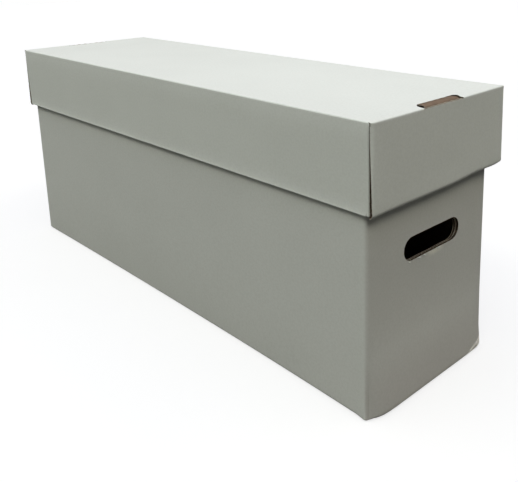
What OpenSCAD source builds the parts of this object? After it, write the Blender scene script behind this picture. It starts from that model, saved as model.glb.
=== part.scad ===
// Long storage box for comic books, of white-faced corrugated board.
// The body is one glued and folded sheet, and the telescoping lid is another.
// X runs along the box, with the bulged end at +X. Z is up, and Z = 0 is the ground.

/* [Board] */
// Thickness of the corrugated board
board = 3; // [2.5:0.1:3.5]
// Inside radius of every fold
fold_r = 1; // [0.5:0.1:1.5]
// Outside radius of the lid's folds, which are creased sharper than the body's
crease_r = 1.5; // [1:0.1:3]
// Gap between two plies that lie against each other
ply_gap = 0.2; // [0.1:0.05:0.4]

/* [Body] */
// Length of the body over its two ends
body_len = 686; // [560:1:760]
// Width of the body over its long walls
body_w = 196; // [170:1:320]
// Height of the long walls' rim above the ground
body_h = 290; // [240:1:330]
// How far the rolled rim of each end lies below the long walls' rim
rim_drop = 0.3; // [0:0.1:3]
// Clearance at each side of an inner end ply
ply_side_gap = 1.5; // [1:0.1:4]
// Length of the foot of each inner end ply on the floor
foot_len = 95; // [40:1:130]

/* [Bottom flaps] */
// Depth of the two end flaps
end_flap = 97; // [60:1:130]
// Gap between the two long flaps at the centre seam
seam_gap = 2; // [0.5:0.5:8]
// How far each long flap ends short of the end's outer face
long_flap_inset = 5.5; // [4.5:0.5:12]
// How far each end flap's sides lie inside the long walls' faces
end_flap_inset = 5.5; // [4.5:0.5:12]

/* [Glued joint] */
// Width of the glue tab inside the long wall
glue_tab = 35; // [20:1:50]
// How far the glued long wall stops short of the end's outer face
glue_reveal = 1.5; // [0.5:0.1:2.5]

/* [Hand holes] */
// Length of each hand hole, with its round ends
hand_len = 91; // [70:1:110]
// Height of each hand hole
hand_h = 24; // [20:0.5:34]
// Height of the hand holes' centre above the ground
hand_z = 153; // [150:1:190]
// How far the front hand hole lies off the middle of its end
hand_offset = 1.5; // [-6:0.5:6]

/* [Bulged foot of the front end] */
// How far the middle of the fold stands out past the end's face
bulge = 9; // [2:0.5:9.5]
// How far the bulged fold sinks below the end flap
bulge_sink = 2.6; // [0:0.1:2.8]
// Height above the ground at which the bulge has faded out
bulge_top = 120; // [60:1:130]
// How far the bulge runs back under the end flap
bulge_back = 25; // [20:1:30]
// Sharpness with which the bulge dies away towards the corners
bulge_power = 9; // [2:1:12]

/* [Lid fit] */
// Clearance between the inner end ply of the lid and the body's end
lid_end_gap = 1.6; // [1:0.1:6]
// Clearance between a long skirt and the body's long wall
lid_side_gap = 4; // [1:0.1:8]

/* [Lid skirts] */
// Depth of the long skirts below the lid's top face
side_skirt = 84.5; // [60:0.5:100]
// How much deeper the rolled end skirts are
end_skirt_extra = 2; // [1:0.5:5]
// How far the corner folds end above the long skirts' lower edge
corner_relief = 2.5; // [2.5:0.5:6]
// How far each side of an end skirt lies inside the long skirt's face at the top
end_inset = 0.3; // [0.2:0.1:1]
// How much more it lies inside at the bottom
end_taper = 0.3; // [0:0.1:2.5]
// Length of the corner flaps behind the end skirts
corner_flap = 60; // [30:1:75]
// Slope of the corner flaps' upper and lower edges, in degrees
corner_flap_slope = 6; // [0:1:12]
// Place of the first nick along the skirt at -Y, from the middle of the box
first_nick = -159; // [-320:1:-20]
// Place of the second nick
second_nick = 9; // [-10:1:320]
// Width of each nick
nick_w = 3; // [1:0.5:6]

/* [Lid locks] */
// Length of the slot in the top panel at the end fold
slot_len = 64; // [40:1:90]
// Depth of the slot from the end's outer face
slot_depth = 13; // [12.5:0.5:20]
// Length of the chamfer at the slot's inner corners
slot_chamfer = 5; // [2:0.5:8]
// How far the locking tab is shorter than the slot, at each end
tab_gap = 4; // [1:0.5:8]
// How far the tab's edge lies below the lid's top face
tab_drop = 0.8; // [0.2:0.1:2]
// How far the cut edge of the end skirt lies below it in the slot
lip_drop = 1; // [0.2:0.1:2]
// Gap between the inner end ply and the top panel
inner_top_gap = 0.4; // [0.2:0.1:2]

/* [Hidden] */
white_liner = [0.86, 0.88, 0.85];

// Facets of a full circle, steps of the bulged foot across and along its section
round_fn = 64;
bulge_cols = 20;
bulge_rows = 9;
bend_rows = 5;
flap_rows = 5;

// Outer radius of a fold
fold_out = fold_r + board;
// Half the body's outside length and width
half_len = body_len / 2;
half_w = body_w / 2;
// Undersides of the end flaps and of the feet that lie on them
end_flap_z = board + ply_gap;
foot_z = end_flap_z + board + ply_gap;
// Half widths of an end flap and of an inner end ply
end_flap_half = half_w - end_flap_inset;
inner_ply_half = half_w - board - ply_side_gap;
// Rolled rim of an end: its inside radius, outside radius and centre height
rim_r = ply_gap / 2;
rim_out = rim_r + board;
rim_z = body_h - rim_drop - rim_out;
// Faces of an inner end ply
inner_ply_x = half_len - board - 2 * rim_r;
inner_ply_face = inner_ply_x - board;
// Height of the bulged foot's fold centre
end_fold_z = end_flap_z + fold_out;

// Half the lid's outside length and width
lid_half_len = half_len + lid_end_gap + 3 * board + 2 * ply_gap;
lid_half_w = half_w + lid_side_gap + board;
// Underside and top of the lid's top panel
lid_under = body_h;
lid_top = lid_under + board;
// Centre height of the lid's top folds
lid_fold_z = lid_top - fold_out;
// Outer face of the corner flaps
flap_face = lid_half_len - board - ply_gap;
// Turn at the bottom of an end skirt, which takes a corner flap between its plies
turn_r = board / 2 + ply_gap;
turn_out = turn_r + board;
turn_x = lid_half_len - board - turn_r;
turn_z = lid_top - side_skirt - end_skirt_extra + turn_out;
// Outer face of the lid's inner end ply
lid_inner_x = lid_half_len - board - 2 * turn_r;
lid_inner_half = lid_half_w - board - ply_side_gap;
// Slack that lets a cut run past the face that it leaves
past = 1;

// Quarter of a fold's section, from its first axis to its second
module quarter_ring(r) {
    intersection() {
        difference() {
            circle(r = r + board, $fn = round_fn);
            circle(r = r, $fn = round_fn);
        }
        square(r + board + past);
    }
}

// Section of a sharp crease in the lid, in place of a quarter ring
module crease() {
    flat = fold_out - crease_r;
    difference() {
        union() {
            square([fold_out, flat]);
            square([flat, fold_out]);
            translate([flat, flat])
                circle(r = crease_r, $fn = round_fn);
        }
        circle(r = fold_r, $fn = round_fn);
    }
}

// Sheet whose section lies in the YZ plane
module along_x(from, to) {
    translate([from, 0, 0])
        rotate([90, 0, 90])
            linear_extrude(to - from)
                children();
}

// Sheet whose section lies in the XZ plane
module along_y(from, to) {
    translate([0, to, 0])
        rotate([90, 0, 0])
            linear_extrude(to - from)
                children();
}

// Obround hole through an end at +X
module hand_hole(offset) {
    straight = hand_len - hand_h;
    translate([inner_ply_face - past, offset, hand_z])
        rotate([0, 90, 0]) {
            for (s = [-1, 1])
                translate([0, s * straight / 2, 0])
                    cylinder(d = hand_h, h = half_len - inner_ply_face + 2 * past, $fn = round_fn);
            translate([-hand_h / 2, -straight / 2, 0])
                cube([hand_h, straight, half_len - inner_ply_face + 2 * past]);
        }
}

// Long wall at +Y with its bottom fold and its half of the outer bottom
module long_wall(from, to) {
    fold_half = half_len - fold_out;
    flap_half = half_len - long_flap_inset;
    translate([from, half_w - board, fold_out])
        cube([to - from, board, body_h - fold_out]);
    along_x(-fold_half, fold_half)
        translate([half_w - fold_out, fold_out])
            mirror([0, 1])
                quarter_ring(fold_r);
    along_x(-flap_half, flap_half)
        translate([seam_gap / 2, 0])
            square([half_w - fold_out - seam_gap / 2, board]);
}

// Vertical fold between a wall along X and a wall along Y, closed at the bottom by the
// stretched board where it meets the bottom folds
module corner_fold(x, y) {
    translate([x, y, fold_out]) {
        linear_extrude(body_h - fold_out)
            quarter_ring(fold_r);
        intersection() {
            difference() {
                sphere(r = fold_out, $fn = round_fn);
                sphere(r = fold_r, $fn = round_fn);
            }
            translate([0, 0, -fold_out - past])
                cube([fold_out + past, fold_out + past, fold_out + past]);
        }
    }
}

// Outer ply of an end at +X, from a height up to its rolled rim
module end_outer(low, y_from, y_to, rim_from, rim_to) {
    difference() {
        translate([half_len - board, y_from, low])
            cube([board, y_to - y_from, body_h - low]);
        translate([half_len - board - past, rim_from, rim_z])
            cube([board + 2 * past, rim_to - rim_from, body_h]);
    }
}

// Rolled rim, inner ply and foot of an end at +X
module end_inner(y_from, y_to) {
    foot_bend_x = inner_ply_face - fold_r;
    foot_bend_z = foot_z + fold_out;
    along_y(y_from, y_to) {
        translate([half_len - board - rim_r, rim_z]) {
            quarter_ring(rim_r);
            mirror([1, 0])
                quarter_ring(rim_r);
        }
        translate([inner_ply_face, foot_bend_z])
            square([board, rim_z - foot_bend_z]);
        translate([foot_bend_x, foot_bend_z])
            mirror([0, 1])
                quarter_ring(fold_r);
        translate([inner_ply_x - foot_len, foot_z])
            square([foot_bend_x - inner_ply_x + foot_len, board]);
    }
}

// Flat end flap, from the outer end of its flat part inwards
module end_flap(outer_x, y_from, y_to) {
    translate([half_len - end_flap, y_from, end_flap_z])
        cube([outer_x - half_len + end_flap, y_to - y_from, board]);
}

// Plain bottom fold of an end at +X
module end_fold(y_from, y_to) {
    along_y(y_from, y_to)
        translate([half_len - fold_out, end_fold_z])
            mirror([0, 1])
                quarter_ring(fold_r);
}

// The bulged foot is a sheet swept across the end. Each station of its section holds a place
// on the outer or inner face, and how much of the bulge and of the sinking it takes. The fold
// sinks over its whole width, and bulges less and less towards the corners.
function wall_stations(x) = [
    for (i = [0:bulge_rows])
        let (t = i / bulge_rows)
        [x, bulge_top - (bulge_top - end_fold_z) * t, t * t, pow(t, 12)]
];
function bend_stations(r) = [
    for (i = [1:bend_rows - 1])
        let (a = 90 * i / bend_rows)
        [half_len - fold_out + r * cos(a), end_fold_z - r * sin(a), 1, 1]
];
function flap_stations(z) = [
    for (i = [0:flap_rows])
        let (t = pow(i / flap_rows, 2))
        [half_len - fold_out - bulge_back * t, z, pow(1 - t, 2), pow(max(0, 1 - 5 * t), 2)]
];
function reversed(list) = [for (i = [len(list) - 1:-1:0]) list[i]];
bulge_section = concat(
    wall_stations(half_len),
    bend_stations(fold_out),
    flap_stations(end_flap_z),
    reversed(flap_stations(end_flap_z + board)),
    reversed(bend_stations(fold_r)),
    reversed(wall_stations(half_len - board))
);
function reversed_faces(faces) = [for (f = faces) reversed(f)];
function bulge_share(y) = 1 - pow(abs(y) / (half_w - fold_out), bulge_power);

module bulged_foot() {
    n = len(bulge_section);
    foot_half = half_w - fold_out;
    points = [
        for (c = [0:bulge_cols])
            let (y = -foot_half * cos(180 * c / bulge_cols), b = bulge_share(y))
            for (s = bulge_section)
                [s[0] + bulge * b * s[2], y, s[1] - bulge_sink * s[3]]
    ];
    sides = [
        for (c = [0:bulge_cols - 1])
            for (i = [0:n - 1])
                let (j = (i + 1) % n, near = c * n, far = (c + 1) * n)
                for (f = [[near + i, far + j, near + j], [near + i, far + i, far + j]])
                    f
    ];
    first_cap = [for (i = [0:n / 2 - 2]) [i, i + 1, n - 2 - i, n - 1 - i]];
    last_cap = [for (f = reversed_faces(first_cap)) [for (i = f) bulge_cols * n + i]];
    polyhedron(points, concat(sides, first_cap, last_cap), convexity = 6);
}

// End at +X, with the bulged foot
module front_end() {
    wall_half = half_w - fold_out;
    difference() {
        union() {
            end_outer(bulge_top, -wall_half, wall_half, -inner_ply_half, inner_ply_half);
            end_inner(-inner_ply_half, inner_ply_half);
            end_flap(half_len - fold_out - bulge_back, -end_flap_half, end_flap_half);
            bulged_foot();
            corner_fold(half_len - fold_out, wall_half);
            mirror([0, 1, 0])
                corner_fold(half_len - fold_out, wall_half);
        }
        hand_hole(hand_offset);
    }
}

// End at -X, drawn at +X. It is narrower by one board at +Y, where its glue tab lies inside
// the long wall.
module back_end() {
    wall_half = half_w - fold_out;
    ply_to = inner_ply_half - board;
    flap_to = end_flap_half - board;
    difference() {
        union() {
            end_outer(end_fold_z, -wall_half, wall_half - board, -inner_ply_half, ply_to);
            end_inner(-inner_ply_half, ply_to);
            end_flap(half_len - fold_out, -end_flap_half, flap_to);
            end_fold(-end_flap_half, flap_to);
            corner_fold(half_len - fold_out, wall_half - board);
            mirror([0, 1, 0])
                corner_fold(half_len - fold_out, wall_half);
            translate([half_len - fold_out - glue_tab, half_w - 2 * board, fold_out])
                cube([glue_tab, board, body_h - fold_out]);
        }
        hand_hole(0);
    }
}

module box() {
    wall_end = half_len - fold_out;
    color(white_liner)
        union() {
            long_wall(-half_len + glue_reveal, wall_end);
            mirror([0, 1, 0])
                long_wall(-wall_end, wall_end);
            front_end();
            mirror([1, 0, 0])
                back_end();
        }
}

// Long skirt at +Y with its fold along the top, which runs out to the end skirts
module long_skirt() {
    skirt_end = flap_face - fold_out;
    low = lid_top - side_skirt;
    translate([-skirt_end, lid_half_w - board, low])
        cube([2 * skirt_end, board, lid_fold_z - low]);
    along_x(-flap_face, flap_face)
        translate([lid_half_w - fold_out, lid_fold_z])
            crease();
}

// Vertical fold and corner flap at +X and +Y, behind the end skirt
module corner_flap_fold() {
    low = lid_top - side_skirt + corner_relief;
    high = lid_under - inner_top_gap;
    fall = corner_flap * tan(corner_flap_slope);
    translate([flap_face - fold_out, lid_half_w - fold_out, low])
        linear_extrude(lid_fold_z - low)
            crease();
    along_x(flap_face - board, flap_face)
        polygon([
            [lid_half_w - fold_out, low],
            [lid_half_w - fold_out, lid_fold_z],
            [lid_half_w - fold_out - board, high],
            [lid_half_w - fold_out - corner_flap, high - fall],
            [lid_half_w - fold_out - corner_flap, low + fall]
        ]);
}

// Outline of the slot at +X in the top panel, from its inner edge out through the end fold
module slot_outline() {
    polygon([
        [lid_half_len + past, -slot_len / 2],
        [lid_half_len - slot_depth + slot_chamfer, -slot_len / 2],
        [lid_half_len - slot_depth, -slot_len / 2 + slot_chamfer],
        [lid_half_len - slot_depth, slot_len / 2 - slot_chamfer],
        [lid_half_len - slot_depth + slot_chamfer, slot_len / 2],
        [lid_half_len + past, slot_len / 2]
    ]);
}

// Outer ply of the end skirt at +X, narrower towards its lower edge
module end_skirt_outer() {
    top_half = lid_half_w - end_inset;
    low_half = top_half - end_taper;
    along_x(lid_half_len - board, lid_half_len)
        polygon([
            [-top_half, lid_fold_z],
            [top_half, lid_fold_z],
            [low_half, turn_z],
            [-low_half, turn_z]
        ]);
    translate([turn_x, 0, turn_z])
        along_y(-low_half, low_half)
            mirror([0, 1])
                quarter_ring(turn_r);
    // The cut edge stands up in the slot, where no fold holds it
    translate([lid_half_len - board, -slot_len / 2, lid_fold_z])
        cube([board, slot_len, fold_out - lip_drop]);
}

// Inner ply of the end skirt at +X, with its turn and the locking tab in the slot
module end_skirt_inner() {
    tab_half = slot_len / 2 - tab_gap;
    translate([turn_x, 0, turn_z])
        along_y(-lid_inner_half, lid_inner_half)
            mirror([1, 0])
                mirror([0, 1])
                    quarter_ring(turn_r);
    along_x(lid_inner_x - board, lid_inner_x)
        polygon([
            [-lid_inner_half, turn_z],
            [-lid_inner_half, lid_under - inner_top_gap],
            [-tab_half, lid_under - inner_top_gap],
            [-tab_half + board, lid_top - tab_drop],
            [tab_half - board, lid_top - tab_drop],
            [tab_half, lid_under - inner_top_gap],
            [lid_inner_half, lid_under - inner_top_gap],
            [lid_inner_half, turn_z]
        ]);
}

// Top panel with its end folds, which are as wide as the end skirts, and the two slots
module top_panel() {
    panel_half = lid_half_len - fold_out;
    panel_half_w = lid_half_w - fold_out;
    end_half = lid_half_w - end_inset;
    difference() {
        union() {
            translate([-panel_half, -panel_half_w, lid_under])
                cube([2 * panel_half, 2 * panel_half_w, board]);
            along_y(-end_half, end_half) {
                translate([panel_half, lid_fold_z])
                    crease();
                translate([-panel_half, lid_fold_z])
                    mirror([1, 0])
                        crease();
            }
        }
        for (m = [0, 1])
            mirror([m, 0, 0])
                translate([0, 0, lid_fold_z])
                    linear_extrude(fold_out + past)
                        slot_outline();
    }
}

// Nicks that the cutting die left in the lower edge of the skirt at -Y
module nicks() {
    for (x = [first_nick, second_nick])
        translate([x, past - lid_half_w + board, lid_top - side_skirt])
            rotate([90, 0, 0])
                cylinder(d = nick_w, h = board + 2 * past, $fn = round_fn);
}

module lid() {
    color(white_liner)
        difference() {
            union() {
                top_panel();
                for (my = [0, 1])
                    mirror([0, my, 0])
                        long_skirt();
                for (mx = [0, 1])
                    mirror([mx, 0, 0]) {
                        end_skirt_outer();
                        end_skirt_inner();
                        for (my = [0, 1])
                            mirror([0, my, 0])
                                corner_flap_fold();
                    }
            }
            nicks();
        }
}

box();
lid();
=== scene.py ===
"""Comic book box: a folded body and a telescoping lid of white-faced corrugated board."""
import math
import random

import bpy
import numpy as np
from mathutils import Matrix, Vector
from mathutils.geometry import delaunay_2d_cdt


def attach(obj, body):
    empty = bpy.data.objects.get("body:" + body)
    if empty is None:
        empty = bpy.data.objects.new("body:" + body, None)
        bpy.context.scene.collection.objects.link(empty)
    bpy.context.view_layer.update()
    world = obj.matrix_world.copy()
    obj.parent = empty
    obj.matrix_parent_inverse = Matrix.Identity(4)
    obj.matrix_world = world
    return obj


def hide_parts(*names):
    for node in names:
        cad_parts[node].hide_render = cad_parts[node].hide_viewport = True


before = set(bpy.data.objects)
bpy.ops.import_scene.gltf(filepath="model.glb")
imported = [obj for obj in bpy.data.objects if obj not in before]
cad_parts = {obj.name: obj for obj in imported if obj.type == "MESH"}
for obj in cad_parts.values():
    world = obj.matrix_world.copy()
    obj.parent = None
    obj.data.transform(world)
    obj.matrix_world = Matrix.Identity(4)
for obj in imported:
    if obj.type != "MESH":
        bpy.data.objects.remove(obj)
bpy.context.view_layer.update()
random.seed(7)

# Sizes in millimetres, the same as in the CAD source
BOARD = 3.0
FOLD = 4.0
CREASE = 1.5
ARC = FOLD * math.pi / 2
HALF_LEN, HALF_W, BODY_H = 343.0, 98.0, 290.0
WALL_X, WALL_Y = HALF_LEN - FOLD, HALF_W - FOLD
LID_X, LID_Y, LID_TOP = 354.0, 105.0, 293.0
PANEL_X, PANEL_Y, LID_FOLD_Z = LID_X - FOLD, LID_Y - FOLD, LID_TOP - FOLD

# Make of the board: liners, pitch and half thickness of the fluted paper, depth of the hollow seen
# in a cut edge, and the teeth that the cutting die leaves
LINER = 0.3
PITCH = 6.2
FLUTE_HALF = 0.12
HOLLOW = 4.0
TOOTH, TOOTH_PITCH = 0.6, 2.0
# Steps along a cut edge, where it crosses the flutes and where it runs along them
FINE, COARSE = PITCH / 8, 6.0
# Grid points nearer to a cut than this are left out
GRID_CLEAR = 0.45
# Material indices of a sheet; the fluting in cut edges is painted near black as the shade of its hollow
WHITE, KRAFT, CUT, FLUTE_IN_SHADE = 0, 1, 2, 3

# Light of the dome: a ring of ceiling panels, a dim room and a low window on the near side
DOME_NEAR = (4.48, 4.58, 4.16)
DOME_END = (3.32, 3.16, 2.66)
DOME_FAR = (1.50, 1.52, 1.60)
DOME_TOP = (0.08, 0.10, 0.40)
DOME_DIM = (0.035, 0.035, 0.032)
DOME_LOW = (0.62, 0.66, 0.58)


# Board meshes

def inside(points, rings):
    """Even-odd test of points against closed rings."""
    x, y = points[:, 0], points[:, 1]
    hit = np.zeros(len(points), bool)
    for ring in rings:
        a = np.asarray(ring)
        b = np.roll(a, -1, axis=0)
        for (x0, y0), (x1, y1) in zip(a, b):
            if y0 == y1:
                continue
            cross = (y0 > y) != (y1 > y)
            hit ^= cross & (x < (x1 - x0) * (y - y0) / (y1 - y0) + x0)
    return hit


def distance(points, rings):
    """Distance of points from the rings' edges."""
    best = np.full(len(points), 1e9)
    for ring in rings:
        a = np.asarray(ring)
        b = np.roll(a, -1, axis=0)
        for p, q in zip(a, b):
            d = q - p
            t = np.clip(((points - p) @ d) / max(d @ d, 1e-12), 0, 1)
            best = np.minimum(best, np.hypot(*(points - p - t[:, None] * d).T))
    return best


def steps(a, b, size):
    """Evenly spaced values from a to b, about size apart."""
    return list(np.linspace(a, b, max(2, int(math.ceil(abs(b - a) / size)) + 1)))


class Sheet:
    """One folded sheet of corrugated board as a single mesh."""

    def __init__(self, warp):
        self.warp = warp
        self.points, self.coords, self.faces, self.mats, self.keys = [], [], [], [], []
        self.count = 0

    def add(self, points, coords, faces, mat, key=-1):
        """Vertices that share a key and a place are welded at the end."""
        points = np.asarray(points, float)
        self.points.append(points)
        self.coords.append(np.asarray(coords, float))
        self.keys.append(np.full(len(points), key))
        faces = np.asarray(faces, int)
        self.faces.append(faces + self.count)
        self.mats.append(np.full(len(faces), mat))
        self.count += len(points)

    def skins(self, uv, tris, pos, blank):
        """The white face, the brown face and their winding."""
        outer = pos(uv[:, 0], uv[:, 1], np.zeros(len(uv)))
        inner = pos(uv[:, 0], uv[:, 1], np.full(len(uv), BOARD))
        n = np.cross(outer[tris[:, 1]] - outer[tris[:, 0]], outer[tris[:, 2]] - outer[tris[:, 0]])
        away = (outer - inner)[tris[:, 0]]
        flip = (n * away).sum(1).sum() < 0
        face = tris[:, ::-1] if flip else tris
        uvc = blank(uv[:, 0], uv[:, 1])
        self.add(outer, uvc, face, WHITE, 0)
        self.add(inner, uvc, face[:, ::-1], KRAFT, 1)

    def strip(self, pos, rings, us, ts, blank=None, across="u"):
        """A region of the sheet. rings holds lists of (u, t, raw), where raw tells whether the edge
        from that point on is cut. us and ts are the grid lines that carry the bends."""
        blank = blank or (lambda u, t: np.stack([u, t], -1))
        us, ts = sorted(us), sorted(ts)
        outlines, tags = [], []
        for ring in rings:
            pts, tag = [], []
            for i, (u, t, raw) in enumerate(ring):
                u1, t1, _ = ring[(i + 1) % len(ring)]
                cuts = [0.0]
                if abs(t1 - t) > 1e-9:
                    cuts += [(m - t) / (t1 - t) for m in ts]
                if abs(t1 - t) < 1e-9:
                    cuts += [(m - u) / (u1 - u) for m in us] if abs(u1 - u) > 1e-9 else []
                cuts = sorted(c for c in cuts if -1e-9 <= c < 1 - 1e-6)
                last = -1
                for c in cuts:
                    if c - last > 1e-6:
                        pts.append((u + (u1 - u) * c, t + (t1 - t) * c))
                        tag.append(raw)
                        last = c
            outlines.append(np.array(pts))
            tags.append(tag)
        grid = np.array([(u, t) for u in us for t in ts], float)
        keep = inside(grid, outlines)
        grid = grid[keep]
        if len(grid):
            grid = grid[distance(grid, outlines) > GRID_CLEAR]
        verts, edges = [], []
        for ring in outlines:
            base = len(verts)
            verts += [Vector(p) for p in ring]
            edges += [(base + i, base + (i + 1) % len(ring)) for i in range(len(ring))]
        verts += [Vector(p) for p in grid]
        out = delaunay_2d_cdt(verts, edges, [], 0, 1e-6)
        uv = np.array([tuple(p) for p in out[0]])
        tris = np.array([f for f in out[2] if len(f) == 3])
        mid = uv[tris].mean(1)
        tris = tris[inside(mid, outlines)]
        self.skins(uv, tris, pos, blank)
        for ring, tag in zip(outlines, tags):
            self.cut_edges(ring, tag, outlines, pos, blank, across)

    def cut_edges(self, ring, tag, rings, pos, blank, across):
        """Liners, flutes and hollow of the cut edges of one ring."""
        n = len(ring)
        if not any(tag):
            return
        start = next((i for i in range(n) if tag[i] and not tag[i - 1]), 0)
        chains, chain = [], []
        for k in range(n + 1):
            i = (start + k) % n
            if k < n and tag[i]:
                if not chain:
                    chain = [ring[i]]
                chain.append(ring[(i + 1) % n])
            elif chain:
                chains.append(np.array(chain))
                chain = []
        if chain:
            chains.append(np.array(chain))
        for c in chains:
            closed = np.hypot(*(c[0] - c[-1])) < 1e-6
            fine = [c[0]]
            for a, b in zip(c[:-1], c[1:]):
                run = np.abs(b - a)
                length = float(np.hypot(*run))
                if length < 1e-6:
                    continue
                over = run[0] if across == "u" else run[1]
                size = FINE if over > 0.3 * length else COARSE
                count = max(1, int(math.ceil(length / size)))
                fine += [a + (b - a) * (j + 1) / count for j in range(count)]
            p = np.array(fine)
            d = np.gradient(p, axis=0)
            if closed:
                d[0] = d[-1] = (p[1] - p[-2]) / 2
            d /= np.maximum(np.hypot(*d.T), 1e-9)[:, None]
            nrm = np.stack([-d[:, 1], d[:, 0]], -1)
            probe = p + nrm * 0.2
            side = np.where(inside(probe, rings), 1, -1)
            nrm *= 1 if np.median(side) > 0 else -1
            self.edge(p, nrm, pos, blank)

    def edge(self, p, nrm, pos, blank):
        """Geometry of one cut edge: p along it, nrm into the sheet."""
        def row(w, d):
            q = p + nrm * np.reshape(w, (-1, 1))
            dd = np.full(len(p), d) if np.isscalar(d) else d
            return pos(q[:, 0], q[:, 1], dd), blank(q[:, 0], q[:, 1])

        def wave(w):
            q = p + nrm * w
            across_flutes = blank(q[:, 0], q[:, 1])[:, 0]
            return BOARD / 2 + (BOARD / 2 - LINER - FLUTE_HALF) * np.sin(2 * math.pi * across_flutes / PITCH)

        def ribbon(a, b, mat):
            (pa, ca), (pb, cb) = a, b
            m = len(pa)
            i = np.arange(m - 1)
            lower, upper = np.stack([i, i + 1, m + i + 1], -1), np.stack([i, m + i + 1, m + i], -1)
            quads = np.concatenate([lower, upper])
            self.add(np.concatenate([pa, pb]), np.concatenate([ca, cb]), quads, mat)

        # The toothed knife of the cutting die leaves both liners serrated
        run = np.concatenate([[0], np.cumsum(np.hypot(*np.diff(p, axis=0).T))])
        bite = np.interp(run, run, [random.uniform(0.3, 1.0) for _ in run])
        teeth = -TOOTH * bite * np.abs(2 * ((run / TOOTH_PITCH) % 1) - 1)
        # The faces inside each hollow take the fluting colour, painted near black as the hollow's shade
        for skin, under, mat in ((0.0, LINER, WHITE), (BOARD, BOARD - LINER, KRAFT)):
            ribbon(row(0, skin), row(teeth, skin), mat)
            ribbon(row(teeth, skin), row(teeth, under), CUT)
            ribbon(row(teeth, under), row(HOLLOW, under), FLUTE_IN_SHADE)
        ribbon(row(HOLLOW, LINER), row(HOLLOW, BOARD - LINER), FLUTE_IN_SHADE)
        ribbon(row(0, wave(0) - FLUTE_HALF), row(0, wave(0) + FLUTE_HALF), KRAFT)
        ws = [0, HOLLOW * 0.33, HOLLOW * 0.67, HOLLOW]
        for w0, w1 in zip(ws[:-1], ws[1:]):
            ribbon(row(w0, wave(w0)), row(w1, wave(w1)), FLUTE_IN_SHADE)

    def build(self, name, body, node, materials):
        """The finished Blender object, riding on its body in place of its CAD node."""
        points, keys = np.concatenate(self.points), np.concatenate(self.keys)
        coords, faces = np.concatenate(self.coords), np.concatenate(self.faces)
        mats = np.concatenate(self.mats)
        stamp = np.concatenate([np.round(points, 3), keys[:, None]], 1)
        stamp[keys < 0, :] = 0
        stamp[keys < 0, 0] = np.arange((keys < 0).sum()) + 1e6
        _, first, back = np.unique(stamp, axis=0, return_index=True, return_inverse=True)
        back = back.ravel()
        faces_w = back[faces]
        a, b, c = faces_w.T
        good = (a != b) & (b != c) & (a != c)
        faces, faces_w, mats = faces[good], faces_w[good], mats[good]
        mesh = bpy.data.meshes.new(name)
        mesh.from_pydata((self.warp(points[first]) / 1000).tolist(), [], faces_w.tolist())
        for m in materials:
            mesh.materials.append(m)
        mesh.polygons.foreach_set("material_index", mats.astype(np.int32))
        layer = mesh.uv_layers.new(name="blank")
        layer.data.foreach_set("uv", (coords[faces.ravel()] / 1000).astype(np.float32).ravel())
        mesh.shade_smooth()
        mesh.set_sharp_from_angle(angle=math.radians(50))
        mesh.update()
        obj = bpy.data.objects.new(name, mesh)
        bpy.context.scene.collection.objects.link(obj)
        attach(obj, body)
        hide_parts(node)


def polar(cu, cv, r, a):
    """Point at radius r and angle a about (cu, cv)."""
    return cu + r * np.cos(a), cv + r * np.sin(a)


def stack(x, y, z):
    """Rows of points from three coordinates, any of which may be a single number."""
    x, y, z = np.broadcast_arrays(x, y, z)
    return np.stack([x, y, z], -1).astype(float)


def crease(f, d):
    """Point in a sharp fold of the lid: f runs across the fold from 0 to 1, d is the depth."""
    f = np.clip(f, 0, 1)
    flat = FOLD - CREASE
    a = np.clip(3 * f - 1, 0, 1) * math.pi / 2
    ahead = flat * np.clip(3 * f, 0, 1) + CREASE * np.sin(a)
    up = flat * np.clip(3 - 3 * f, 0, 1) + CREASE * np.cos(a)
    b, share = f * math.pi / 2, d / BOARD
    bead = FOLD - BOARD
    return ahead + (bead * np.sin(b) - ahead) * share, up + (bead * np.cos(b) - up) * share


def obround(u, t, length, height, raw=True, count=14):
    """Ring of a hand hole, with its straight sides along u."""
    r, s = height / 2, (length - height) / 2
    ring = []
    for side, start in ((1, -math.pi / 2), (-1, math.pi / 2)):
        for a in np.linspace(start, start + math.pi, count):
            ring.append((u + side * s + r * math.cos(a), t + r * math.sin(a), raw))
    return ring


# Body

# How far the long walls' bottoms are pulled in, the front corners flare, the front end flares and
# the box stands nearer than its lid
WALL_PULL, FRONT_FLARE, END_FLARE, BODY_OFF = 2.2, 1.4, 1.3, 1.6
# End flaps and long flaps: how far they reach from their folds, and the long flaps' half length
FLAP_DEPTH, FLAP_X = 93, 337.5
# An end strip: fold and wall, rolled rim, face of the inner ply, bend and flat of its foot
END_FOLD_Z, FLAP_UNDER, WALL_HIGH, CORNER_HIGH = 7.2, 3.2, 279.4, 282.8
RIM, RIM_X, RIM_Z = 3.1, 339.9, 286.6
INNER_X = 336.8
FOOT_X, FOOT_Z, FOOT_TOP, FOOT_FLAT = 335.8, 10.4, 9.4, 91.0
# The bulged foot: how far out, from what height down, how far back, and how far its fold sinks
BULGE, BULGE_TOP, BULGE_HIGH, BULGE_BACK, SINK = 9, 120, 112.8, 25, 2.6
HAND_Z, HAND_LEN, HAND_H = 153, 91, 24
# Half widths of the end flaps and of the inner plies, the glue tab's width, and how far the glued
# wall stops short of the end's outer face
FLAP_Y, PLY_Y, GLUE_TAB, GLUE_REVEAL = 92.5, 93.5, 35, 1.5
Z_MARKS = [float(z) for z in np.arange(16, 286, 12)]
BEND = [ARC * k / 8 for k in range(9)]


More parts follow.
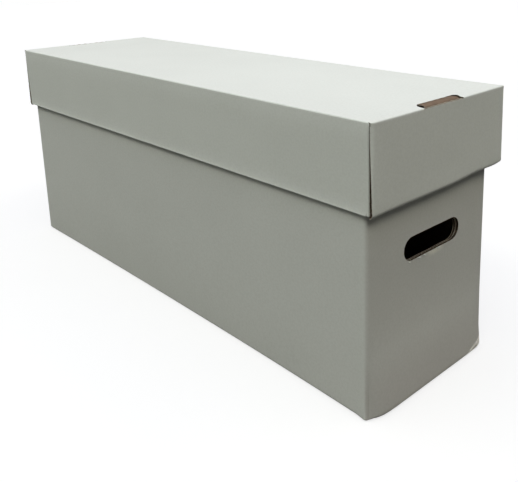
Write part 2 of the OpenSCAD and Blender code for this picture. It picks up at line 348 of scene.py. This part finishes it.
def warp_body(p):
    """The bottom folds pull the long walls in along the middle and press the front corners out,
    and the box stands a little nearer than its loose lid."""
    q = p.copy()
    x, y, z = p.T
    along = np.clip(1 - (x / WALL_X) ** 2, 0, 1)
    low = np.clip(1 - z / 150, 0, 1) ** 1.5
    side = np.sign(y) * np.clip((np.abs(y) - 60) / 34, 0, 1)
    front = np.clip((x - 140) / 200, 0, 1) ** 2
    foot = np.clip(1 - z / 70, 0, 1) ** 1.5
    q[:, 1] += side * (np.where(y > 0, -1.0, FRONT_FLARE * foot) * front - WALL_PULL * along * low) - BODY_OFF
    flare = END_FLARE * np.clip((x - 300) / 39, 0, 1) * foot
    skew = 1.5 * np.clip((-x - 300) / 39, 0, 1) * np.clip((60 - y) / 120, 0, 1)
    q[:, 0] += flare - skew
    tight = np.clip((x - 335) / 4, 0, 1) * np.clip((np.abs(y) - 90) / 4, 0, 1) * np.clip((16 - z) / 12, 0, 1)
    q[:, 0] += 0.9 * tight * (y < 0)
    q[:, 1] -= 0.4 * tight * (y < 0)
    q[:, 2] -= 2.2 * tight * np.clip(z / 4, 0, 1)
    return q


def long_wall(sheet, sign, x0, x1):
    """Long wall from x0 to x1 on the side that sign gives, with its bottom fold and flap."""
    seam = -(ARC + FLAP_DEPTH)

    def pos(u, t, d):
        a = np.clip(-t / FOLD, 0, math.pi / 2)
        r = FOLD - d
        y = np.where(t >= 0, -HALF_W + d, -WALL_Y - r * np.cos(a))
        z = np.where(t >= 0, FOLD + t, FOLD - r * np.sin(a))
        flat = t < -ARC
        y = np.where(flat, -WALL_Y + (-t - ARC), y)
        z = np.where(flat, d, z)
        return stack(u, y * -sign, z)

    ring = [(-FLAP_X, seam, True), (FLAP_X, seam, True), (FLAP_X, -ARC, True), (WALL_X, -ARC, False),
            (WALL_X, 0, False), (x1, 0, False), (x1, BODY_H - FOLD, True), (x0, BODY_H - FOLD, sign > 0),
            (x0, 0, True), (-WALL_X, 0, False), (-WALL_X, -ARC, True), (-FLAP_X, -ARC, True)]
    ring = [p for i, p in enumerate(ring) if p[:2] != ring[i - 1][:2]]
    us = [float(u) for u in np.arange(-330, 331, 12)]
    ts = [z - FOLD for z in Z_MARKS] + [-b for b in BEND] + [1.5, -ARC - 1.5]
    ts += [seam + k for k in (1.5, 20, 40, 60, 80)]
    sheet.strip(pos, [ring], us, ts)


def corner(sheet, cx, cy, sx, sy):
    """Vertical fold of the body about (cx, cy) with the rounded corner that closes it at the bottom."""

    def pos(u, t, d):
        a = np.clip(u / FOLD, 0, math.pi / 2)
        r = FOLD - d
        return stack(cx + sx * r * np.sin(a), cy + sy * r * np.cos(a), t)

    ring = [(0, FOLD, False), (ARC, FOLD, False), (ARC, BODY_H, True), (0, BODY_H, False)]
    sheet.strip(pos, [ring], BEND, Z_MARKS + [4.6, 7.2])

    n = len(BEND)
    angles = np.array(BEND) / FOLD
    turn, fall = [g.ravel() for g in np.meshgrid(angles, angles, indexing="ij")]
    corners = np.arange(n * n).reshape(n, n)
    a, b = corners[:-1, :-1].ravel(), corners[:-1, 1:].ravel()
    c, d = corners[1:, 1:].ravel(), corners[1:, :-1].ravel()
    faces = np.concatenate([np.stack([a, b, c], -1), np.stack([a, c, d], -1)])
    for r, mat, key in ((FOLD, WHITE, 0), (FOLD - BOARD, KRAFT, 1)):
        x, y = cx + sx * r * np.cos(fall) * np.sin(turn), cy + sy * r * np.cos(fall) * np.cos(turn)
        p = stack(x, y, FOLD - r * np.sin(fall))
        out = faces if (sx * sy > 0) == (key == 0) else faces[:, ::-1]
        sheet.add(p, np.stack([cx + turn * FOLD, FOLD - fall * FOLD], -1), out, mat, key)


def end(sheet, sx, lo, hi, flap_lo, flap_hi, ply_lo, ply_hi, hole, bulged):
    """End strip: bottom flap, wall, rolled rim, inner ply and foot, with a hand hole in each ply."""
    t2 = WALL_HIGH + RIM * math.pi
    t3 = t2 + RIM_Z - FOOT_Z
    t4 = t3 + math.pi / 2
    t5 = t4 + FOOT_FLAT

    def pos(u, t, d):
        x = np.where(t >= 0, HALF_LEN - d, 0)
        z = END_FOLD_Z + t
        a = np.clip((t - WALL_HIGH) / RIM, 0, math.pi)
        rx, rz = polar(RIM_X, RIM_Z, RIM - d, a)
        roll = t > WALL_HIGH
        x, z = np.where(roll, rx, x), np.where(roll, rz, z)
        ply = t > t2
        x, z = np.where(ply, INNER_X + d, x), np.where(ply, RIM_Z - (t - t2), z)
        bend = t > t3
        bx, bz = polar(FOOT_X, FOOT_Z, 1 + d, -np.clip(t - t3, 0, math.pi / 2))
        x, z = np.where(bend, bx, x), np.where(bend, bz, z)
        foot = t > t4
        x, z = np.where(foot, FOOT_X - (t - t4), x), np.where(foot, FOOT_TOP - d, z)
        low = t < 0
        fx, fz = polar(WALL_X, END_FOLD_Z, FOLD - d, -np.clip(-t / FOLD, 0, math.pi / 2))
        x, z = np.where(low, fx, x), np.where(low, fz, z)
        flat = t < -ARC
        x, z = np.where(flat, WALL_X - (-t - ARC), x), np.where(flat, FLAP_UNDER + d, z)
        if bulged:
            edge = (np.abs(u) / WALL_Y) ** np.where(u > 0, 15, 13)
            up = np.clip((BULGE_TOP - (END_FOLD_Z + t)) / BULGE_HIGH, 0, 1)
            back = np.clip((-t - ARC) / BULGE_BACK, 0, 1)
            out = np.where(t >= 0, up ** 2, (1 - back) ** 2)
            sink = np.where(t >= 0, up ** 12, np.clip(1 - 5 * back, 0, 1) ** 2)
            x = x + BULGE * np.clip(1 - edge, 0, 1) * out * (t < WALL_HIGH)
            z = z - (SINK + 0.6 * edge) * sink * (t < WALL_HIGH)
        return stack(sx * x, u, z)

    tip, root = -ARC - FLAP_DEPTH, -ARC - BULGE_BACK
    ring = [(flap_lo, tip, True), (flap_hi, tip, True)]
    if bulged:
        ring += [(flap_hi, root, True), (hi, root, True)]
        last = [(lo, root, True), (flap_lo, root, True)]
        # The front hand hole is worn a little larger than it was cut
        holes = [obround(hole + 0.8, 153.4 - END_FOLD_Z, 91.6, 25.2),
                 obround(hole, t2 + RIM_Z - 152.4, 91.6, 25.8)]
    else:
        ring += [(flap_hi, 0, True)]
        last = [(flap_lo, 0, True)]
        holes = [obround(hole, HAND_Z - END_FOLD_Z, HAND_LEN, HAND_H),
                 obround(hole, t2 + RIM_Z - HAND_Z, HAND_LEN, HAND_H)]
    ring += [(hi, 0, False), (hi, CORNER_HIGH, True), (ply_hi, CORNER_HIGH, True), (ply_hi, t5, True)]
    ring += [(ply_lo, t5, True), (ply_lo, CORNER_HIGH, True), (lo, CORNER_HIGH, False), (lo, 0, True)] + last
    us = steps(-80, 80, 8) + [-92.3, -90, -87, -84, 84, 87, 90, 92.3]
    ts = [z - END_FOLD_Z for z in Z_MARKS] + [-b for b in BEND] + [1.5]
    ts += [-ARC - k for k in (1.5, 4, 9, 16)] + [root - k for k in (0, 15, 30, 45, 60)]
    ts += [WALL_HIGH - 1.5] + [WALL_HIGH + RIM * math.pi * k / 10 for k in range(11)] + [t2 + 1.5]
    ts += steps(t2 + 12, t3 - 4, 12) + [t3 + math.pi / 2 * k / 6 for k in range(7)]
    ts += steps(t4 + 2, t5 - 10, 15)
    sheet.strip(pos, [ring] + holes, us, ts)


def glue_tab(sheet):
    """Tab of the end at -X that is glued inside the long wall at +Y."""
    def pos(u, t, d):
        return stack(u, HALF_W - BOARD - d, t)

    inner_x = -(WALL_X - GLUE_TAB)
    ring = [(-WALL_X, FOLD, True), (inner_x, FOLD, True), (inner_x, BODY_H, True), (-WALL_X, BODY_H, False)]
    sheet.strip(pos, [ring], [-330.0, -318.0], Z_MARKS)


body = Sheet(warp_body)
long_wall(body, -1, -WALL_X, WALL_X)
long_wall(body, 1, -HALF_LEN + GLUE_REVEAL, WALL_X)
corner(body, WALL_X, -WALL_Y, 1, -1)
corner(body, WALL_X, WALL_Y, 1, 1)
corner(body, -WALL_X, -WALL_Y, -1, -1)
corner(body, -WALL_X, WALL_Y - BOARD, -1, 1)
end(body, 1, -WALL_Y, WALL_Y, -FLAP_Y, FLAP_Y, -PLY_Y, PLY_Y, 1.5, True)
end(body, -1, -WALL_Y, WALL_Y - BOARD, -FLAP_Y, FLAP_Y - BOARD, -PLY_Y, PLY_Y - BOARD, 0, False)
glue_tab(body)

# Torn bits of liner stand out from the lower edge of the front hand hole: place, width, reach
TORN_BITS = [(-37, 3.2, 2.2), (-30, 1.2, 1.0), (-22.5, 4.6, 3.2), (-18, 1.8, 1.4), (-13.5, 3.8, 2.9),
             (-4, 1.4, 1.0), (3, 2.4, 1.5), (9, 4.2, 2.6), (13, 1.8, 1.4), (22, 1.4, 1.0)]
for at, wide, out in TORN_BITS:
    z = HAND_Z - HAND_H / 2 + random.uniform(-0.2, 0.1)
    bit = [(342.9, at, z), (342.9, at + wide, z), (HALF_LEN + out, at + 0.6 * wide, z - 0.2)]
    body.add(bit, [(at, z)] * 3, [(0, 2, 1)], WHITE)


# Lid

# Corner flaps: end of the long skirts and outer face behind the end skirts
SKIRT_X, FLAP_FACE = 346.8, 350.8
# An end strip of the lid: depth of the outer ply, its turn, and the inner ply's face, top and side
END_DEPTH, TURN, TURN_X, TURN_Z = 77.8, 4.7, 349.3, 211.2
LID_INNER_X, LID_INNER_TOP, LID_INNER_Y = 344.6, 289.6, 100.5
LID_MARKS = [float(z) for z in np.arange(220, 280, 11)] + [281.0, 285.0]
# Half length of a slot
SLOT = 32.0
# The slot's inner corners at +X. The other end has the same turned round, cut less deep
NOTCH, SHALLOW = [(342.5, -29), (338.8, -23), (338.8, 34), (343, 37)], 0.45
# Half widths of an end skirt: at the top and at the bottom, and where its joined fold ends
SIDE, LOW_SIDE, JOINED_Y = 104.7, 104.4, 103.5
# How far the end skirt's cut edge is crushed at the near corner
CRUSH = 2.7
LID_BEND = [0.0] + [ARC * (1 + k / 5) / 3 for k in range(6)] + [ARC]


def warp_lid(p):
    """The skirts lean in towards their lower edges, and the far corner at +X stands out and up."""
    q = p.copy()
    x, y, z = p.T
    down = np.clip((LID_FOLD_Z - z) / 80, 0, 1)
    near, far = np.clip((-y - 90) / 8, 0, 1), np.clip((y - 90) / 8, 0, 1)
    beside = np.clip((350.9 - np.abs(x)) * 10, 0, 1)
    q[:, 1] += beside * down * (near * (0.9 + 0.9 * np.clip((x + LID_X) / (2 * LID_X), 0, 1)) - 0.4 * far)
    q[:, 0] += np.clip((-x - 300) / 40, 0, 1) * down * 0.5
    shoulder = 0.45 * np.clip((LID_FOLD_Z - z) / 8, 0, 1) * (z < 289.01)
    q[:, 1] += beside * shoulder * (far - near)
    q[:, 0] += 0.7 * down * np.clip((x - 350.9) * 10, 0, 1) * np.clip((-80 - y) / 20, 0, 1)
    # At the far corner of the +X end the skirt stands out and its lower fold rises
    outer, away = np.clip((x - 340) / 10, 0, 1), np.clip((y - 60) / 40, 0, 1)
    q[:, 0] += (0.6 + 0.6 * down) * outer * away
    rise = 2.5 * np.clip((y - 18) / 45, 0, 1) + 1.4 * np.clip((y - 88) / 16, 0, 1) ** 2
    q[:, 2] += outer * rise * np.clip((250 - z) / 44, 0, 1)
    q[:, 2] += 1.2 * np.clip((x - 230) / 120, 0, 1) * np.clip((y - 20) / 80, 0, 1) * (z > 280)
    return q


def lid_main(sheet):
    """Top panel with the long skirts and the two slots."""
    fold_t, t_end = PANEL_Y + ARC, PANEL_Y + ARC + 80.5

    def pos(u, t, d):
        s, m = np.sign(t), np.abs(t)
        flare = 0.5 * np.clip((m - (t_end - 3)) / 3, 0, 1)
        ahead, up = crease((m - PANEL_Y) / ARC, d)
        y = np.where(m <= PANEL_Y, m, PANEL_Y + ahead)
        z = np.where(m <= PANEL_Y, LID_TOP - d, LID_FOLD_Z + up)
        drop = m > fold_t
        y = np.where(drop, LID_Y - d + flare * (d < 1), y)
        z = np.where(drop, LID_FOLD_Z - (m - fold_t), z)
        return stack(u, s * y, z)

    # One quarter of the outline, from the skirt's lower corner to the slot
    arris = PANEL_Y + LID_BEND[1]
    corner_of = [(SKIRT_X, t_end), (SKIRT_X, fold_t), (FLAP_FACE, fold_t), (FLAP_FACE, arris),
                 (PANEL_X, arris), (PANEL_X, PANEL_Y), (PANEL_X, SLOT)]
    raws = (False, False, True, True, False, False, True)
    ring = []
    for s in (1, -1):
        ring += [(s * u, -s * t, raw) for (u, t), raw in zip(corner_of, raws)]
        ring += [(s * (PANEL_X - (PANEL_X - u) * (1 if s > 0 else SHALLOW)), s * t, True) for u, t in NOTCH]
        ring += [(s * u, s * t, raw) for (u, t), raw in zip(reversed(corner_of), raws)]
    us = [float(u) for u in np.arange(-336, 337, 12)] + [-349.4, -SKIRT_X, -342, 342, SKIRT_X, 349.4]
    half = [PANEL_Y + b for b in LID_BEND] + [fold_t + LID_FOLD_Z - z for z in LID_MARKS] + [t_end - 3]
    ts = half + [-h for h in half] + steps(-90, 90, 10)
    sheet.strip(pos, [ring], us, ts)


def lid_end(sheet, sx):
    """End strip of the lid: outer ply, turn, inner ply and locking tab, with the slot's lip."""
    ta = ARC + END_DEPTH
    tm, tb = ta + TURN * math.pi / 2, ta + TURN * math.pi
    tc = tb + LID_INNER_TOP - TURN_Z
    td = tc + 7.6

    def pos(u, t, d):
        # The die has crushed the cut edges at both sides, most of all near the crease
        ahead, up = crease(t / ARC, d)
        at_side = np.clip((np.abs(u) - SIDE + 4) / 4, 0, 1) ** 2
        shut = at_side * (1 - d / BOARD) * np.clip(1 - (t - ARC) / 85, 0, 1)
        shut = shut * np.where(u < 0, 1, 0.2)
        x, z = PANEL_X + ahead - CRUSH * shut * np.clip(t / ARC, 0, 1), LID_FOLD_Z + up
        wall = t > ARC
        x, z = np.where(wall, LID_X - d - CRUSH * shut, x), np.where(wall, LID_FOLD_Z - (t - ARC), z)
        tx, tz = polar(TURN_X, TURN_Z, TURN - d, -np.clip((t - ta) / TURN, 0, math.pi))
        low = t > ta
        x, z = np.where(low, tx, x), np.where(low, tz, z)
        ply = t > tb
        x, z = np.where(ply, LID_INNER_X + d, x), np.where(ply, TURN_Z + (t - tb), z)
        # The locking tab lies over in the slot with its brown side up
        tab = t > tc
        lie = np.clip((t - tc) / 3, 0, 1) * 1.65
        r = 0.6 + d * (1 - 0.15 * np.clip((t - tc) / 2, 0, 1))
        over = np.maximum(t - tc - 3, 0)
        x = np.where(tab, 344 + r * np.cos(lie) - over + 2.6 * np.sin(2 * lie).clip(0) * d / BOARD, x)
        z = np.where(tab, 289.7 + r * np.sin(lie) - 0.08 * over, z)
        return stack(sx * x, u + sx * 4 * np.clip((t - tc) / 2, 0, 1), z)

    half = [(SLOT, 0, False), (PANEL_Y, 0, False), (JOINED_Y, 0, True), (SIDE, 0, True), (SIDE, ARC, True),
            (LOW_SIDE, ta, True), (LOW_SIDE, tm, True), (LID_INNER_Y, tm, True), (LID_INNER_Y, tc, True),
            (27, tc, True), (26, td, True)]
    left = [(-u, t, raw) for u, t, raw in reversed(half)]
    left = [(u, t, raw) for (u, t, _), (_, _, raw) in zip(left, left[1:] + left[:1])]
    left[-3:] = [(-JOINED_Y, 0, False), (-PANEL_Y, 0, False), (-SLOT, 0, True), (-SLOT, ARC, False),
                 (SLOT, ARC, True)]
    us = steps(-90, 90, 10) + [s * u for s in (-1, 1) for u in (96, 99, PANEL_Y, 102.5, 103.3, 104)]
    ts = LID_BEND + [ARC + LID_FOLD_Z - z for z in LID_MARKS] + [ta - 1.5]
    ts += [ta + TURN * math.pi * k / 12 for k in range(13)] + steps(tb + 1.5, tc - 1, 12)
    ts += [tc + k for k in (0.6, 1.2, 1.8, 2.4, 3.0, 4.6)]
    sheet.strip(pos, [half + left], us, ts, lambda u, t: np.stack([PANEL_X + t, u], -1), "t")

    def lip(u, t, d):
        return stack(sx * (LID_X - d), u, LID_FOLD_Z + t)

    ring = [(-SLOT, 0, False), (SLOT, 0, True), (SLOT, 3, True), (-SLOT, 3, True)]
    first = len(sheet.mats)
    sheet.strip(lip, [ring], steps(-30, 30, 10), [1.5],
                lambda u, t: np.stack([PANEL_X + ARC - t, u], -1), "t")
    # The knife has pinched this narrow lip shut, so no dark hollow shows in it
    for mats in sheet.mats[first:]:
        mats[mats != WHITE] = CUT


def lid_corner(sheet, sx, sy):
    """A corner flap with its fold, which stands off the end skirt towards the lower edge."""
    low = 208.7

    def gape(z):
        return 1.1 * np.clip((LID_FOLD_Z - z) / 80, 0, 1)

    def fold(u, t, d):
        ahead, up = crease(u / ARC, d)
        return stack(sx * (SKIRT_X + ahead - gape(t) * u / ARC), sy * (PANEL_Y + up), t)

    ring = [(0, low, True), (ARC, low, False), (ARC, LID_FOLD_Z, False), (0, LID_FOLD_Z, False)]
    sheet.strip(fold, [ring], LID_BEND, LID_MARKS)

    def flap(u, t, d):
        return stack(sx * (FLAP_FACE - d - gape(t)), sy * u, t)

    ring = [(PANEL_Y, low, False), (PANEL_Y, LID_FOLD_Z, True), (98, LID_INNER_TOP, True), (41, 283.3, True),
            (41, 217.3, True), (99, TURN_Z, True)]
    sheet.strip(flap, [ring], [55.0, 70.0, 85.0], LID_MARKS + [287.5])


lid = Sheet(warp_lid)
lid_main(lid)
for side in (1, -1):
    lid_end(lid, side)
    for across_side in (1, -1):
        lid_corner(lid, side, across_side)


# Materials

def nodes_of(name):
    """A new material with its node tree and its principled shader."""
    m = bpy.data.materials.new(name)
    m.use_nodes = True
    tree = m.node_tree
    tree.nodes.clear()
    out = tree.nodes.new("ShaderNodeOutputMaterial")
    bsdf = tree.nodes.new("ShaderNodeBsdfPrincipled")
    tree.links.new(bsdf.outputs[0], out.inputs[0])
    return m, tree, bsdf


def noise(tree, coord, scale, detail=3.0, rough=0.5, stretch=None):
    n = tree.nodes.new("ShaderNodeTexNoise")
    n.inputs["Scale"].default_value = scale
    n.inputs["Detail"].default_value = detail
    n.inputs["Roughness"].default_value = rough
    if stretch:
        m = tree.nodes.new("ShaderNodeMapping")
        m.inputs["Scale"].default_value = stretch
        tree.links.new(coord, m.inputs["Vector"])
        coord = m.outputs[0]
    tree.links.new(coord, n.inputs["Vector"])
    return n.outputs["Fac"]


def ramp(tree, fac, stops):
    r = tree.nodes.new("ShaderNodeValToRGB")
    e = r.color_ramp.elements
    while len(e) < len(stops):
        e.new(0.5)
    for el, (at, colour) in zip(e, stops):
        el.position = at
        el.color = (*colour, 1)
    tree.links.new(fac, r.inputs[0])
    return r.outputs[0]


def blend_colours(tree, fac, a, b, mode="MIX"):
    m = tree.nodes.new("ShaderNodeMix")
    m.data_type = "RGBA"
    m.blend_type = mode
    for socket, value in ((m.inputs[0], fac), (m.inputs[6], a), (m.inputs[7], b)):
        if hasattr(value, "links"):
            tree.links.new(value, socket)
        else:
            socket.default_value = value if not isinstance(value, tuple) else (*value, 1)
    return m.outputs[2]


def math_node(tree, operation, *values):
    n = tree.nodes.new("ShaderNodeMath")
    n.operation = operation
    for socket, value in zip(n.inputs, values):
        if hasattr(value, "links"):
            tree.links.new(value, socket)
        else:
            socket.default_value = value
    return n.outputs[0]


def smooth(tree, value, a, b, lo, hi):
    n = tree.nodes.new("ShaderNodeMapRange")
    n.interpolation_type = "SMOOTHSTEP"
    for k, v in zip(("From Min", "From Max", "To Min", "To Max"), (a, b, lo, hi)):
        n.inputs[k].default_value = v
    tree.links.new(value, n.inputs["Value"])
    return n.outputs[0]


def bump(tree, height, strength, distance, normal=None):
    b = tree.nodes.new("ShaderNodeBump")
    b.inputs["Strength"].default_value = strength
    b.inputs["Distance"].default_value = distance
    tree.links.new(height, b.inputs["Height"])
    if normal:
        tree.links.new(normal, b.inputs["Normal"])
    return b.outputs[0]


def washboard(tree):
    """Faint ridges at every second flute. The blank's first coordinate runs across them."""
    uv = tree.nodes.new("ShaderNodeUVMap")
    uv.uv_map = "blank"
    w = tree.nodes.new("ShaderNodeTexWave")
    w.wave_type, w.bands_direction, w.wave_profile = "BANDS", "X", "SIN"
    w.inputs["Scale"].default_value = 1000 / PITCH / 20 * math.pi
    w.inputs["Distortion"].default_value = 0.0
    tree.links.new(uv.outputs[0], w.inputs["Vector"])
    return w.outputs["Fac"]


def white_liner(name, tint, shade_and_wear=False):
    """White paper liner; on the body with painted shade, a scuffed corner with painted light and rubbed
    patches.
    """
    m, tree, bsdf = nodes_of(name)
    coord = tree.nodes.new("ShaderNodeTexCoord").outputs["Object"]
    cloud = noise(tree, coord, 9, 4, 0.55)
    fleck = noise(tree, coord, 420, 3, 0.6)
    base = ramp(tree, cloud, [(0.3, tuple(c * 0.965 for c in tint)), (0.7, tint)])
    flecks = ramp(tree, fleck, [(0.35, (0.55, 0.55, 0.50)), (0.6, (0.92, 0.93, 0.90))])
    colour = blend_colours(tree, 0.10, base, flecks)
    if shade_and_wear:
        # Painted shade: darker towards the floor, and a little darker all over on faces turned to the ends,
        # where less light falls
        height = tree.nodes.new("ShaderNodeSeparateXYZ")
        tree.links.new(coord, height.inputs[0])
        low = smooth(tree, height.outputs["Z"], 0.0, 0.11, 1.0, 0.0)
        x, y, z = (height.outputs[k] for k in "XYZ")
        facing = tree.nodes.new("ShaderNodeSeparateXYZ")
        tree.links.new(tree.nodes.new("ShaderNodeNewGeometry").outputs["Normal"], facing.inputs[0])
        on_end = smooth(tree, math_node(tree, "ABSOLUTE", facing.outputs["X"]), 0.3, 0.8, 0.0, 1.0)
        painted_shade = blend_colours(tree, on_end, (0.95, 0.945, 0.94), (0.76, 0.73, 0.725))
        low = math_node(tree, "MAXIMUM", low, math_node(tree, "MULTIPLY", on_end, 0.4))
        colour = blend_colours(tree, low, colour, blend_colours(tree, 1.0, colour, painted_shade, "MULTIPLY"))
        # The lower corner at +X, +Y is crushed and its liner scuffed, painted with the highlights and shade
        # of its crumples
        below = math_node(tree, "SUBTRACT", math_node(tree, "MULTIPLY", y, 0.30), z)
        wedge = smooth(tree, below, 0.0120, 0.0145, 0.0, 1.0)
        wedge = math_node(tree, "MULTIPLY", wedge, smooth(tree, x, 0.336, 0.340, 0.0, 1.0))
        torn = noise(tree, coord, 130, 2, 0.5)
        scuff_and_highlight = ramp(tree, torn, [(0.36, (0.45, 0.43, 0.41)), (0.48, (1.0, 0.97, 0.92))])
        colour = blend_colours(tree, wedge, colour, scuff_and_highlight)
        # Liner rubbed white below the hand holes
        off_y = math_node(tree, "ABSOLUTE", math_node(tree, "SUBTRACT", y, 0.006))
        off_z = math_node(tree, "ABSOLUTE", math_node(tree, "SUBTRACT", z, 0.1395))
        rub = smooth(tree, off_y, 0.0, 0.018, 1.0, 0.0)
        rub = math_node(tree, "MULTIPLY", rub, smooth(tree, off_z, 0.0, 0.006, 0.9, 0.0))
        rub = math_node(tree, "MULTIPLY", rub, on_end)
        colour = blend_colours(tree, rub, colour, (0.98, 0.97, 0.86))
    tree.links.new(colour, bsdf.inputs["Base Color"])
    bsdf.inputs["Roughness"].default_value = 0.62
    bsdf.inputs["Specular IOR Level"].default_value = 0.04
    grain = bump(tree, noise(tree, coord, 900, 2, 0.6), 0.18, 0.0002)
    ridges = bump(tree, washboard(tree), 0.10, 0.0004, grain)
    waves = bump(tree, noise(tree, coord, 14, 2, 0.5), 0.35, 0.0035, ridges)
    if shade_and_wear:
        waves = bump(tree, math_node(tree, "MULTIPLY", torn, wedge), 1.0, 0.006, waves)
    tree.links.new(waves, bsdf.inputs["Normal"])
    return m


def kraft(name, dark, light, rough=0.85):
    """Brown paper with fibres."""
    m, tree, bsdf = nodes_of(name)
    coord = tree.nodes.new("ShaderNodeTexCoord").outputs["Object"]
    fibres = noise(tree, coord, 260, 4, 0.65, (1.0, 1.0, 0.35))
    cloud = noise(tree, coord, 30, 3, 0.5)
    streaks, clouds = (ramp(tree, fac, [(0.3, dark), (0.7, light)]) for fac in (fibres, cloud))
    mixed = blend_colours(tree, 0.35, streaks, clouds)
    tree.links.new(mixed, bsdf.inputs["Base Color"])
    bsdf.inputs["Roughness"].default_value = rough
    bsdf.inputs["Specular IOR Level"].default_value = 0.1
    grain = bump(tree, fibres, 0.25, 0.0002)
    tree.links.new(bump(tree, washboard(tree), 0.12, 0.0004, grain), bsdf.inputs["Normal"])
    return m


body_white = white_liner("body_liner", (0.745, 0.755, 0.715), shade_and_wear=True)
lid_white = white_liner("lid_liner", (0.83, 0.85, 0.80))
brown = kraft("kraft_liner", (0.155, 0.108, 0.075), (0.25, 0.178, 0.125))
# The fluting is painted near black, as painted shade in the hollows of cut edges
fluting_in_shade = kraft("fluting_in_shade", (0.035, 0.022, 0.014), (0.09, 0.058, 0.038))
cut = kraft("cut_liner_edge", (0.34, 0.28, 0.22), (0.66, 0.62, 0.54))

body.build("box_board", "box", "box", [body_white, brown, cut, fluting_in_shade])
lid.build("lid_board", "lid", "lid", [lid_white, brown, cut, fluting_in_shade])


# Floor, light, camera

def seen(tree):
    """1 for the rays that show the white background."""
    rays = tree.nodes.new("ShaderNodeLightPath").outputs
    mirrored = math_node(tree, "MAXIMUM", rays["Is Glossy Ray"], rays["Is Transmission Ray"])
    return math_node(tree, "MAXIMUM", rays["Is Camera Ray"], mirrored)


floor_mesh = bpy.data.meshes.new("floor")
FLOOR_HALF, FLOOR_Z = 6, -0.0005
square = ((-1, -1), (1, -1), (1, 1), (-1, 1))
floor_mesh.from_pydata([(x * FLOOR_HALF, y * FLOOR_HALF, FLOOR_Z) for x, y in square], [], [(0, 1, 2, 3)])
floor = bpy.data.objects.new("floor", floor_mesh)
bpy.context.scene.collection.objects.link(floor)
m, tree, bsdf = nodes_of("floor_pale")
bsdf.inputs["Base Color"].default_value = (0.035, 0.035, 0.032, 1)
bsdf.inputs["Roughness"].default_value = 0.9
pale = tree.nodes.new("ShaderNodeBsdfDiffuse")
pale.inputs["Color"].default_value = (0.36, 0.36, 0.36, 1)
glow = tree.nodes.new("ShaderNodeEmission")
glow.inputs["Color"].default_value = (1, 1, 1, 1)
glow.inputs["Strength"].default_value = 0.70
both = tree.nodes.new("ShaderNodeAddShader")
pick = tree.nodes.new("ShaderNodeMixShader")
tree.links.new(pale.outputs[0], both.inputs[0])
tree.links.new(glow.outputs[0], both.inputs[1])
tree.links.new(seen(tree), pick.inputs[0])
tree.links.new(bsdf.outputs[0], pick.inputs[1])
tree.links.new(both.outputs[0], pick.inputs[2])
tree.links.new(pick.outputs[0], tree.nodes["Material Output"].inputs[0])
floor_mesh.materials.append(m)

# The studio is a dim dome with a bright ring high up, warmer towards +X and brighter towards -Y
world = bpy.data.worlds.new("studio")
bpy.context.scene.world = world
world.use_nodes = True
tree = world.node_tree
tree.nodes.clear()
spot = tree.nodes.new("ShaderNodeTexCoord")
split = tree.nodes.new("ShaderNodeSeparateXYZ")
tree.links.new(spot.outputs["Generated"], split.inputs[0])

ring = blend_colours(tree, smooth(tree, split.outputs["X"], -0.1, 0.35, 0.0, 1.0), DOME_FAR, DOME_END)
ring = blend_colours(tree, smooth(tree, split.outputs["Y"], -0.35, 0.1, 1.0, 0.0), ring, DOME_NEAR)
ring = blend_colours(tree, smooth(tree, split.outputs["Z"], 0.80, 0.90, 0.0, 1.0), ring, DOME_TOP)
dome = blend_colours(tree, smooth(tree, split.outputs["Z"], 0.62, 0.76, 0.0, 1.0), DOME_DIM, ring)
window = blend_colours(tree, smooth(tree, split.outputs["Z"], 0.02, 0.2, 0.0, 1.0), (0, 0, 0), DOME_LOW)
window = blend_colours(tree, smooth(tree, split.outputs["Y"], -0.97, -0.82, 1.0, 0.0), (0, 0, 0), window)
dome = blend_colours(tree, 1.0, dome, window, "ADD")
w_light = tree.nodes.new("ShaderNodeBackground")
w_seen = tree.nodes.new("ShaderNodeBackground")
w_mix = tree.nodes.new("ShaderNodeMixShader")
w_out = tree.nodes.new("ShaderNodeOutputWorld")
tree.links.new(dome, w_light.inputs["Color"])
w_light.inputs["Strength"].default_value = 1.0
w_seen.inputs["Color"].default_value = (1, 1, 1, 1)
w_seen.inputs["Strength"].default_value = 1.0
tree.links.new(seen(tree), w_mix.inputs[0])
tree.links.new(w_light.outputs[0], w_mix.inputs[1])
tree.links.new(w_seen.outputs[0], w_mix.inputs[2])
tree.links.new(w_mix.outputs[0], w_out.inputs[0])


def lamp(name, at, aim, size, power, colour=(1, 1, 1)):
    data = bpy.data.lights.new(name, "AREA")
    data.shape = "RECTANGLE"
    data.size, data.size_y = size
    data.energy = power
    data.color = colour
    obj = bpy.data.objects.new(name, data)
    bpy.context.scene.collection.objects.link(obj)
    obj.location = at
    obj.rotation_euler = (Vector(aim) - Vector(at)).to_track_quat("-Z", "Y").to_euler()


lamp("ceiling", (0.25, 0, 1.05), (0.25, 0, 0), (0.4, 0.4), 0.7, (0.96, 0.98, 1.0))

# Camera fitted to the photograph's edges: focal length and principal point in pixels of 518 x 482
FOCAL, CX, CY = 680.700248, 312.171914, 114.478645
TURN = (1.70302650, 0.698986995, -0.577722781)
SHIFT = (-118.893616, 220.357244, 949.889751)
axis = Vector(TURN)
to_camera = Matrix.Rotation(axis.length, 3, axis.normalized())
place = -(to_camera.transposed() @ Vector(SHIFT)) / 1000
flip = Matrix(((1, 0, 0), (0, -1, 0), (0, 0, -1)))
data = bpy.data.cameras.new("camera")
data.sensor_fit = "HORIZONTAL"
data.sensor_width = 36
data.lens = FOCAL / 518 * 36
data.shift_x = (259 - CX) / 518
data.shift_y = (CY - 241) / 518
data.clip_start, data.clip_end = 0.05, 50
camera = bpy.data.objects.new("camera", data)
bpy.context.scene.collection.objects.link(camera)
camera.matrix_world = Matrix.Translation(place) @ (to_camera.transposed() @ flip).to_4x4()
bpy.context.scene.camera = camera
bpy.context.scene.view_settings.view_transform = "Standard"
